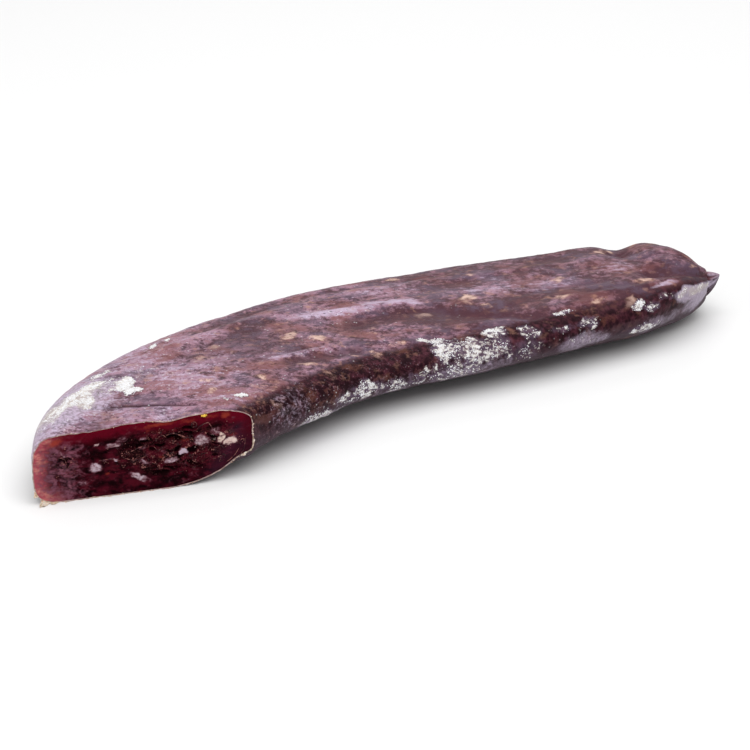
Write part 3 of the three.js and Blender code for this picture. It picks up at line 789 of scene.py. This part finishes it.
def cut_fields(u, v, edge):
    """Relief in millimetres, and masks, of the cut meat. edge is the distance in from the casing."""
    fat, tone = piece_cover(FAT_PIECES, u, v, 71, 0.46)
    small = spots(u + 0.5 * ground(u / 2, v / 2, 79), v, 3.8, 2.2, 0.16, 80) ** 2
    fat = np.maximum(fat, 0.30 * small)
    red, _ = piece_cover(RED_PIECES, u, v, 83, 0.9)
    deep, _ = piece_cover(HOLLOWS, u, v, 87, 0.35)
    # Torn at two places, close and smooth near the casing
    centre = np.min([np.hypot((u - x) / wide, (v - y) / high) for x, y, wide, high in TORN], 0)
    torn = smooth((edge - 1.2) / 2.5) * smooth(1.5 - centre + 0.4 * ground(u / 5, v / 2.6, 90))
    bend_u, bend_v = u + 1.2 * ground(u / 3.5, v / 2.5, 91), v + 0.9 * ground(u / 3.5, v / 2.5, 92)
    cave = rough(bend_u / 3.6, bend_v / 1.9, 93, 3)
    cavity = np.maximum(smooth((cave - 0.42) / 0.35) * torn * 0.8, deep) * (1 - smooth(fat / 0.6))
    fibres = rough(bend_u / 2.4, bend_v / 1.2, 96, 3)
    crumbs = np.maximum(rough(bend_u / 0.8, bend_v / 0.6, 99, 2), 0)
    relief = 0.22 * rough(bend_u / 4, bend_v / 2.4, 102, 3) + (0.07 + 0.25 * torn) * fibres
    relief = relief + 0.28 * torn * crumbs * (1 - cavity) - 1.5 * cavity * (1 - 0.7 * np.clip(fat, 0, 1))
    relief = mix(relief, 0.14 + 0.10 * rough(u / 1.3, v / 1.3, 105, 2), 0.65 * np.clip(fat, 0, 1))
    relief = relief * smooth(edge / 1.4) - 0.05 + 0.10 * smooth(1 - edge / 1.6)
    return np.clip(relief, CUT_DEEPEST, CUT_HIGHEST), {
        "fat": fat,
        "tone": tone,
        "red": red,
        "cavity": np.clip(cavity, 0, 1),
        "torn": torn * (1 - np.clip(cavity, 0, 1)),
        "fibre": np.clip(0.5 + 0.5 * fibres, 0, 1),
        "edge": np.clip(edge / CUT_EDGE, 0, 1),
        "upper": smooth((v + 1.0 + 1.5 * ground(u / 7, v / 5, 108)) / 8.0),
        "left": smooth((-u - 17) / 9),
        "west": smooth((-u - 8) / 10),
        "right": smooth((u - 24 - 0.6 * v) / 9),
    }


# Meat: near-black red where it is torn, with painted shade in its cavities, crimson rim, pink marbling,
# lavender and cream fat
BLACK_RED = colour(0.0045, 0.0003, 0.0010)
DEEP_RED = colour(0.024, 0.0012, 0.0042)
RED = colour(0.068, 0.0038, 0.0105)
CRIMSON = colour(0.115, 0.0010, 0.0090)
ORANGE_RED = colour(0.290, 0.038, 0.022)
ROSE = colour(0.420, 0.082, 0.110)
SALMON = colour(0.760, 0.290, 0.240)
VIOLET = colour(0.060, 0.016, 0.036)
MARBLING = colour(0.170, 0.055, 0.078)
WEST_MARBLING = colour(0.250, 0.092, 0.135)
LAVENDER = colour(0.520, 0.410, 0.490)
FAT_CREAM = colour(0.800, 0.620, 0.530)
CRUMB_PINK = colour(0.290, 0.105, 0.092)


def meat_material():
    sh = Shader("meat", CUT_YAW)
    fine = sh.noise((1.0, 0.7, 0.7), detail=4.0, roughness=0.65, distortion=0.4)
    tiny = sh.noise((0.34, 0.3, 0.3), roughness=0.6)
    cloud = sh.noise((4.5, 2.2, 2.2))
    vein = sh.noise((2.3, 1.5, 1.5), detail=3.0, roughness=0.6, distortion=0.7)
    edge, west, right = sh.field("edge"), sh.field("west"), sh.field("right")
    fibre = sh.sum((sh.field("fibre"), 0.7), (fine, 0.7), (cloud, 0.8))
    base = sh.blend(BLACK_RED, DEEP_RED, sh.ramp(fibre, 0.78, 1.12))
    base = sh.blend(base, RED, sh.ramp(fibre, 1.02, 1.42, 0.0, 0.8))
    base = sh.blend(base, VIOLET, sh.times(right, 0.5))
    pink = sh.sum(vein, (fine, 0.4), (west, 0.25))
    veins = sh.blend(MARBLING, WEST_MARBLING, west)
    base = sh.blend(base, veins, sh.ramp(pink, 0.78, 1.20, 0.0, 0.75))
    # Rim: deep crimson along the top, rose and salmon on the left
    shade = sh.ramp(sh.sum(edge, (cloud, 0.5), (fine, 0.15)), 1.08, 0.42)
    glint = sh.blend(CRIMSON, ORANGE_RED, sh.ramp(sh.sum(fine, (vein, 0.7)), 0.98, 1.24, 0.0, 0.35))
    base = sh.blend(base, glint, sh.times(sh.times(shade, sh.field("upper")), 0.85))
    glow = sh.ramp(sh.sum((edge, 0.9), fine, (vein, 1.6)), 2.10, 1.20)
    glow = sh.times(glow, sh.field("left"))
    warm = sh.blend(ROSE, SALMON, sh.ramp(sh.sum(fine, (cloud, 0.8)), 0.80, 1.15))
    base = sh.blend(base, warm, sh.times(glow, 0.85))
    red = sh.sum(sh.field("red"), (fine, 0.8))
    base = sh.blend(base, ORANGE_RED, sh.ramp(red, 0.62, 1.4, 0.0, 0.8))
    # Pinkish crumbs on the torn meat, bright enough to stand in as painted glints too
    crumbs = sh.times(sh.ramp(tiny, 0.56, 0.68), sh.ramp(sh.field("torn"), 0.15, 0.9))
    base = sh.blend(base, CRUMB_PINK, sh.times(crumbs, 0.35))
    fat = sh.sum((sh.field("fat"), 0.9), (fine, 1.1), (vein, 0.9))
    pale = sh.blend(LAVENDER, FAT_CREAM, sh.field("tone"))
    pale = sh.blend(MARBLING, pale, sh.ramp(fat, 1.45, 2.05))
    base = sh.blend(base, pale, sh.ramp(fat, 1.16, 1.92, 0.0, 0.95))
    # Painted shade: cavities in the torn meat darkened to near black
    base = sh.blend(base, BLACK_RED, sh.ramp(sh.field("cavity"), 0.2, 0.8, 0.0, 0.92))
    base = sh.blend(base, DEEP_RED, sh.ramp(sh.sum(right, (edge, -0.4)), 0.5, 1.0, 0.0, 0.6))
    sh.set(Base_Color=base)
    sh.set(Subsurface_Weight=0.10, Subsurface_Radius=(1.0, 0.25, 0.2), Subsurface_Scale=0.6 * MM)
    sh.set(Specular_IOR_Level=0.04, Specular_Tint=colour(1.0, 0.4, 0.45))
    sh.set(Roughness=sh.ramp(fine, 0.3, 0.7, 0.25, 0.5))
    sh.set(Normal=sh.bump(tiny, 0.10, 0.7, sh.bump(fine, 0.25, 0.8)))
    return sh.material


def cut_face(ring):
    """The cut meat: a closed slab whose face has the torn texture, inside the casing's lip."""
    edge = inward(ring, CASING_THICKNESS + 0.02) - CUT_MIDDLE
    edge_u, edge_v = edge @ CUT_ACROSS, edge @ CUT_UP
    half = COLUMNS // 2
    upper = np.stack([edge_u[:half + 1], edge_v[:half + 1]], -1)
    lower = np.stack([np.roll(edge_u[::-1], 1)[:half + 1], np.roll(edge_v[::-1], 1)[:half + 1]], -1)

    def even(line):
        run = np.concatenate([[0], np.cumsum(np.linalg.norm(np.diff(line, axis=0), axis=1))])
        at = np.linspace(0, run[-1], CUT_COLUMNS + 1)
        return np.stack([np.interp(at, run, line[:, k]) for k in (0, 1)], -1)

    upper, lower = even(upper), even(lower)
    t = np.linspace(0, 1, CUT_ROWS + 1)[None, 1:-1, None]
    inner = mix(upper[1:-1, None], lower[1:-1, None], t)
    full = np.concatenate([upper[1:-1, None], inner, lower[1:-1, None]], 1)
    flat = np.concatenate([full.reshape(-1, 2), upper[:1], upper[-1:]])
    outline = np.concatenate([upper, lower[1:-1][::-1]])
    distance = np.full(len(flat), 1e9)
    for point in outline[::2]:
        distance = np.minimum(distance, np.hypot(*(flat - point).T))
    distance = np.where(distance < 0.3, distance * 0.5, distance)
    relief, fields = cut_fields(flat[:, 0], flat[:, 1], distance)
    count = len(flat)
    front = on_cut(*flat.T, relief)
    columns, rows = full.shape[:2]
    index = np.arange(columns * rows).reshape(columns, rows)
    first, last = columns * rows, columns * rows + 1
    rim = [first, *index[:, 0], last, *index[::-1, -1]]
    back = on_cut(*flat[rim].T, -CUT_BACK)
    faces = []
    for k in range(rows - 1):
        faces.append((first, index[0, k], index[0, k + 1]))
        faces.append((last, index[-1, k + 1], index[-1, k]))
    a, b = index[:-1, :-1].ravel(), index[1:, :-1].ravel()
    c, d = index[1:, 1:].ravel(), index[:-1, 1:].ravel()
    faces.extend(zip(a.tolist(), b.tolist(), c.tolist(), d.tolist()))
    size = len(rim)
    for j in range(size):
        k = (j + 1) % size
        faces.append((rim[k], rim[j], count + j, count + k))
    # The back of the slab
    faces.extend([count + corner for corner in corners[::-1]] for corners in ladder(size))
    padded = {key: np.concatenate([value, np.zeros(size)]) for key, value in fields.items()}
    make_mesh("cut_face", np.concatenate([front, back]), faces, meat_material(), padded, sharp=70)
    return front, fields


ICO = (1 + math.sqrt(5)) / 2
ICO_POINTS = np.array([
    (-1, ICO, 0), (1, ICO, 0), (-1, -ICO, 0), (1, -ICO, 0), (0, -1, ICO), (0, 1, ICO),
    (0, -1, -ICO), (0, 1, -ICO), (ICO, 0, -1), (ICO, 0, 1), (-ICO, 0, -1), (-ICO, 0, 1),
]) / math.hypot(1, ICO)
ICO_FACES = np.array([
    (0, 11, 5), (0, 5, 1), (0, 1, 7), (0, 7, 10), (0, 10, 11), (1, 5, 9), (5, 11, 4), (11, 10, 2),
    (10, 7, 6), (7, 1, 8), (3, 9, 4), (3, 4, 2), (3, 2, 6), (3, 6, 8), (3, 8, 9), (4, 9, 5), (2, 4, 11),
    (6, 2, 10), (8, 6, 7), (9, 8, 1),
])


def lumps(centres, normals, sizes, draw, flat=0.6):
    """Small uneven crumbs as one mesh: each a jittered icosahedron, flattened along its normal."""
    count = len(centres)
    helper = np.where(np.abs(normals[:, 2:]) < 0.9, [[0.0, 0.0, 1.0]], [[1.0, 0.0, 0.0]])
    side = unit(np.cross(normals, helper))
    other = np.cross(normals, side)
    shape = ICO_POINTS[None] * draw.uniform(0.65, 1.3, (count, len(ICO_POINTS), 1)) * sizes[:, None, None]
    stretch = draw.uniform(0.8, 1.35, (count, 1))
    points = (
        centres[:, None]
        + shape[..., :1] * stretch[..., None] * side[:, None]
        + shape[..., 1:2] * other[:, None]
        + shape[..., 2:] * flat * normals[:, None]
    )
    faces = ICO_FACES[None] + 12 * np.arange(count)[:, None, None]
    return points.reshape(-1, 3), faces.reshape(-1, 3)


MEAT_CRUMBS = 700


def speckled(name, cell, detail, dark, light, low, high, bumps=0.0, **settings):
    """A material of two colours mixed by one noise, which may also raise bumps of a height."""
    sh = Shader(name)
    grain = sh.noise((cell, cell, cell), detail=detail)
    sh.set(Base_Color=sh.blend(dark, light, sh.ramp(grain, low, high)), **settings)
    if bumps:
        sh.set(Normal=sh.bump(grain, bumps))
    return sh.material


def crumb_material():
    gloss = {"Roughness": 0.35, "Specular_IOR_Level": 0.25}
    return speckled("meat_crumb", 1.2, 2.0, DEEP_RED, CRUMB_PINK, 0.46, 0.62, **gloss)


def meat_crumbs(front, fields):
    """Grains of torn meat that stand on the cut face."""
    draw = np.random.default_rng(31)
    u, v = (front - CUT_MIDDLE) @ CUT_ACROSS, (front - CUT_MIDDLE) @ CUT_UP
    cluster = smooth((rough(u / 1.5, v / 1.0, 121, 2) - 0.1) / 0.5)
    weight = fields["torn"] * cluster * (fields["fat"] < 0.4)
    chosen = draw.choice(len(front), MEAT_CRUMBS, p=weight / weight.sum())
    sizes = draw.uniform(0.10, 0.30, MEAT_CRUMBS) * draw.uniform(0.6, 1.0, MEAT_CRUMBS)
    facing = unit(CUT_OUT + draw.normal(0, 0.35, (MEAT_CRUMBS, 3)))
    made, faces = lumps(front[chosen], facing, sizes, draw, flat=0.8)
    make_mesh("meat_crumbs", made, faces, crumb_material())


# Curled shreds on the cut face: points across and up, and their radius
SHREDS = [
    ([(19.3, 8.0), (19.6, 9.2), (20.7, 9.1), (20.8, 8.0), (19.9, 7.7), (19.3, 8.0)], 0.14),
    ([(21.0, 7.0), (22.3, 8.0), (24.3, 8.6), (24.9, 7.9), (25.5, 6.8)], 0.15),
    ([(11.8, 6.1), (13.6, 6.6), (15.0, 6.2), (17.2, 5.0), (19.4, 4.4)], 0.17),
    ([(9.4, 5.8), (10.6, 6.4), (11.6, 5.6)], 0.13),
    ([(15.2, 6.6), (16.4, 7.0), (16.9, 6.2)], 0.14),
    ([(-20.6, 2.6), (-19.8, 3.2), (-18.4, 2.6), (-18.0, 1.2)], 0.14),
    ([(-8.6, 0.8), (-6.0, 1.0), (-3.6, 0.5), (-1.2, -0.4)], 0.10),
    ([(-1.0, 0.6), (2.0, -0.2), (5.4, 0.4)], 0.10),
    ([(1.0, 2.4), (3.4, 3.4), (5.4, 3.6)], 0.10),
    ([(26.0, 0.2), (27.6, 1.0), (28.6, 0.2), (29.6, 0.6)], 0.13),
    ([(8.0, 3.0), (9.0, 2.0), (10.4, 2.4)], 0.13),
    ([(20.4, 2.2), (22.0, 1.6), (23.6, 1.9)], 0.10),
    ([(33.0, -3.4), (34.6, -0.8), (35.2, 2.0)], 0.09),
    ([(29.0, -4.6), (31.4, -2.8), (33.2, -0.6)], 0.09),
]
SHRED_STANDS, SHRED_SIDES, SHRED_STEPS = 0.42, 6, 7


def shreds():
    """Thin curled strands of torn meat and sinew, each a closed tapering tube."""
    draw = np.random.default_rng(37)
    points, faces = [], []
    for route, radius in SHREDS:
        route = np.array(route)
        share = np.linspace(0, 1, SHRED_STEPS * (len(route) - 1) + 1)
        u, v = along(route[:, 0], share), along(route[:, 1], share)
        lift = SHRED_STANDS * (0.4 + 0.6 * np.sin(share * math.pi)) + 0.08 * draw.normal(size=len(share))
        line = on_cut(u, v, lift)
        tangent = unit(np.gradient(line, axis=0))
        side = np.cross(tangent, CUT_OUT)
        other = np.cross(side, tangent)
        size = radius * (0.35 + 0.65 * np.sin(share * math.pi) ** 0.5) * draw.uniform(0.75, 1.25, len(share))
        turn = np.arange(SHRED_SIDES) / SHRED_SIDES * 2 * math.pi
        rings = (
            line[:, None]
            + size[:, None, None] * np.cos(turn)[None, :, None] * side[:, None]
            + size[:, None, None] * np.sin(turn)[None, :, None] * other[:, None]
        )
        start = sum(len(block) for block in points)
        points.append(rings.reshape(-1, 3))
        index = start + np.arange(len(share) * SHRED_SIDES).reshape(len(share), SHRED_SIDES)
        for i in range(len(share) - 1):
            for j in range(SHRED_SIDES):
                k = (j + 1) % SHRED_SIDES
                faces.append((index[i, j], index[i, k], index[i + 1, k], index[i + 1, j]))
        faces.append(index[0, ::-1].tolist())
        faces.append(index[-1].tolist())
    make_mesh("meat_shreds", np.concatenate(points), faces, crumb_material(), sharp=70)


MOULD_CRUMBS = 5200


def mould_crumbs(points, fields):
    """Powdery crumbs that stand on the mould, larger where it is thick."""
    draw = np.random.default_rng(11)
    normals = grid_normals(points)
    s_cells, r_cells = points.shape[:2]
    grain = rough(*np.meshgrid(np.arange(s_cells) / 2.2, np.arange(r_cells) / 2.2, indexing="ij"), 111, 2)
    weight = np.clip(fields["mould"] - 0.5, 0, 1) * smooth((grain + 0.2) / 0.6) * (points[..., 2] > 0.8)
    weight[:2] = 0
    flat = weight.ravel() / weight.sum()
    chosen = draw.choice(flat.size, MOULD_CRUMBS, p=flat)
    centres, facing = points.reshape(-1, 3)[chosen], normals.reshape(-1, 3)[chosen]
    shift = draw.normal(0, 0.25, centres.shape)
    centres = centres + shift - facing * (shift * facing).sum(1, keepdims=True)
    sizes = draw.uniform(0.07, 0.20, MOULD_CRUMBS) * (0.5 + fields["mould"].ravel()[chosen])
    made, faces = lumps(centres, facing, sizes, draw)
    gloss = {"Roughness": 0.95, "Specular_IOR_Level": 0.15}
    material = speckled("mould_powder", 0.5, 4.0, CREAM, POWDER, 0.3, 0.5, 0.1, **gloss)
    make_mesh("mould_crumbs", made, faces, material)


# Torn flaps of casing at the cut: quarter turn, length, width and outward curl
FLAPS = [
    (2.30, 3.2, 3.4, 1.0), (2.40, 2.0, 2.4, 0.5), (2.20, 1.6, 2.0, 0.7),
    (3.95, 1.0, 1.6, 0.8), (0.02, 0.8, 1.4, 0.7), (2.75, 0.5, 2.6, 0.2),
]
FLAP_SHEET = 0.12
FLAP_ACROSS, FLAP_DEEP = 6, 5
# Loose frayed bits along the rim: quarter turn, spread in quarter turns, and count
FRAYS = [
    (2.30, 0.07, 60), (3.97, 0.05, 80), (0.06, 0.06, 40),
    (1.30, 0.35, 16), (0.45, 0.25, 8), (2.95, 0.45, 50),
]
FRAY_SIZES = (0.08, 0.30)
# Loose casing stays this far off the floor
FLOOR_GAP = 0.05
FRINGE = colour(0.78, 0.62, 0.52)
FRINGE_TAN = colour(0.52, 0.36, 0.24)


def fringe_material():
    gloss = {"Roughness": 0.45, "Specular_IOR_Level": 0.4}
    glow = {"Subsurface_Weight": 0.3, "Subsurface_Radius": (1.0, 0.5, 0.35), "Subsurface_Scale": 0.6 * MM}
    return speckled("casing_edge", 0.8, 4.0, FRINGE_TAN, FRINGE, 0.35, 0.6, 0.12, **gloss, **glow)


def casing_fringe(ring):
    """Torn flaps of casing that stand proud of the cut, each a thin curled sheet."""
    draw = np.random.default_rng(23)
    points, faces = [], []
    middle = ring.mean(0)
    across, deep = FLAP_ACROSS, FLAP_DEEP
    for quarter, length, width, curl in FLAPS:
        column = quarter / 4 * COLUMNS
        run = np.linspace(-width / 2, width / 2, across + 1)
        near, far = ring[int(column) % COLUMNS], ring[(int(column) + 2) % COLUMNS]
        tangent = unit(far - near)
        outward = (near - middle) - ((near - middle) @ tangent) * tangent
        outward = unit(outward - (outward @ CUT_OUT) * CUT_OUT)
        taper = np.cos(run / width * math.pi * 0.9) ** 0.4
        reach = length * (0.55 + 0.45 * draw.random(across + 1)) * taper
        reach = np.maximum(reach, 0.15)
        base = near - outward * 0.22
        for layer in (0, 1):
            for k in range(deep + 1):
                t = k / deep
                bend = outward * (curl * reach * t * t - layer * FLAP_SHEET)[:, None]
                forth = CUT_OUT * ((reach * t - 0.25) * (1 - 0.3 * t))[:, None]
                wave = outward * (0.25 * t * np.sin(run * 2.6 + quarter * 9))[:, None]
                points.append(base + run[:, None] * tangent + bend + forth + wave)
        start = (len(points) - 2 * (deep + 1)) * (across + 1)
        step = across + 1
        top = start + np.arange((deep + 1) * step).reshape(deep + 1, step)
        under = top + (deep + 1) * step
        for k in range(deep):
            for j in range(across):
                faces.append((top[k, j], top[k, j + 1], top[k + 1, j + 1], top[k + 1, j]))
                faces.append((under[k, j], under[k + 1, j], under[k + 1, j + 1], under[k, j + 1]))
        rim = [*top[0, :], *top[1:, -1], *top[-1, -2::-1], *top[-2:0:-1, 0]]
        for j in range(len(rim)):
            a, b = rim[j], rim[(j + 1) % len(rim)]
            faces.append((b, a, a + (deep + 1) * step, b + (deep + 1) * step))
    made = np.concatenate(points)
    made[:, 2] = np.maximum(made[:, 2], FLOOR_GAP)
    make_mesh("casing_fringe", made, faces, fringe_material(), sharp=60)


def casing_frays(ring):
    """Small torn bits of casing that stick to the rim of the cut."""
    draw = np.random.default_rng(29)
    quarter = np.concatenate([draw.normal(at, spread, count) for at, spread, count in FRAYS])
    column = np.mod(quarter, 4) / 4 * COLUMNS
    near, share = column.astype(int) % COLUMNS, (column % 1)[:, None]
    centres = mix(ring[near], ring[(near + 1) % COLUMNS], share)
    outward = centres - ring.mean(0)
    outward = unit(outward - (outward @ CUT_OUT)[:, None] * CUT_OUT)
    centres = centres + CUT_OUT * draw.uniform(-0.25, 0.35, (len(near), 1))
    centres = centres - outward * draw.uniform(-0.1, 0.3, (len(near), 1))
    facing = unit(outward + draw.normal(0, 0.6, centres.shape))
    made, faces = lumps(centres, facing, draw.uniform(*FRAY_SIZES, len(near)), draw, flat=0.35)
    made[:, 2] = np.maximum(made[:, 2], FLOOR_GAP)
    make_mesh("casing_frays", made, faces, fringe_material())


# Mustard-yellow spice on the rim: across, up and size
SPICES = [(23.4, 10.9, 0.50), (22.7, 10.9, 0.34), (24.1, 11.0, 0.28)]
SPICES_STAND = 0.35
GOLD = colour(0.85, 0.55, 0.05)
AMBER = colour(0.60, 0.30, 0.04)


def spice_specks():
    draw = np.random.default_rng(5)
    across, up, sizes = np.array(SPICES).T
    facing = np.tile(CUT_OUT, (len(SPICES), 1))
    made, faces = lumps(on_cut(across, up, SPICES_STAND), facing, sizes, draw)
    material = speckled("spice", 0.4, 2.0, AMBER, GOLD, 0.4, 0.6, Roughness=0.5)
    make_mesh("spice_specks", made, faces, material)


# Camera: the point on the floor that it looks at, its distance and direction, and its lens
AIM = Vector((0.0002, -0.00175, 0.0))
VIEW_AZIMUTH, VIEW_ELEVATION, VIEW_DISTANCE = math.radians(-33.0), math.radians(26.14), 0.6615
LENS, SENSOR = 96.0, 36.0


def direction(azimuth, elevation):
    """Unit vector from the object towards a viewer: azimuth 0 looks along +Y and 90 along -X."""
    flat = math.cos(elevation)
    return Vector((math.sin(azimuth) * flat, -math.cos(azimuth) * flat, math.sin(elevation)))


def aim(thing, target):
    thing.rotation_euler = (target - thing.location).to_track_quat("-Z", "Y").to_euler()


def camera():
    lens = bpy.data.cameras.new("camera")
    lens.sensor_width, lens.lens = SENSOR, LENS
    lens.clip_start, lens.clip_end = 0.01, 50
    eye = bpy.data.objects.new("camera", lens)
    bpy.context.scene.collection.objects.link(eye)
    eye.location = AIM + direction(VIEW_AZIMUTH, VIEW_ELEVATION) * VIEW_DISTANCE
    aim(eye, AIM)
    bpy.context.scene.camera = eye


# Soft lights, each by its direction round the object, distance, side and power
LIGHTS = [
    ("top_light", 20, 77, 1.2, 1.7, 17.0),
    ("left_light", -55, 24, 1.3, 0.6, 2.6),
    ("back_light", 178, 30, 1.3, 0.9, 2.5),
]
SKY, SKY_STRENGTH = (1.0, 1.0, 1.0, 1.0), 0.42


def lights():
    for name, azimuth, elevation, distance, side, power in LIGHTS:
        lamp = bpy.data.lights.new(name, "AREA")
        lamp.size, lamp.energy = side, power
        thing = bpy.data.objects.new(name, lamp)
        bpy.context.scene.collection.objects.link(thing)
        bearing = VIEW_AZIMUTH + math.radians(azimuth)
        thing.location = AIM + direction(bearing, math.radians(elevation)) * distance
        aim(thing, AIM)
    world = bpy.data.worlds.new("sky")
    bpy.context.scene.world = world
    world.use_nodes = True
    background = world.node_tree.nodes["Background"]
    background.inputs["Color"].default_value = SKY
    background.inputs["Strength"].default_value = SKY_STRENGTH


FLOOR_HALF = 4.0


def floor():
    sh = Shader("floor")
    sh.set(Base_Color=colour(0.86, 0.86, 0.86), Roughness=0.9, Specular_IOR_Level=0.05)
    mesh = bpy.data.meshes.new("floor")
    corners = [(-1, -1), (1, -1), (1, 1), (-1, 1)]
    mesh.from_pydata([(x * FLOOR_HALF, y * FLOOR_HALF, 0) for x, y in corners], [], [(0, 1, 2, 3)])
    mesh.materials.append(sh.material)
    ground_plane = bpy.data.objects.new("floor", mesh)
    bpy.context.scene.collection.objects.link(ground_plane)


bpy.context.scene.view_settings.view_transform = "Standard"
camera()
lights()
floor()
surface, masks = casing()
meat, meat_masks = cut_face(surface[0])
meat_crumbs(meat, meat_masks)
shreds()
casing_fringe(surface[0])
casing_frays(surface[0])
mould_crumbs(surface, masks)
spice_specks()
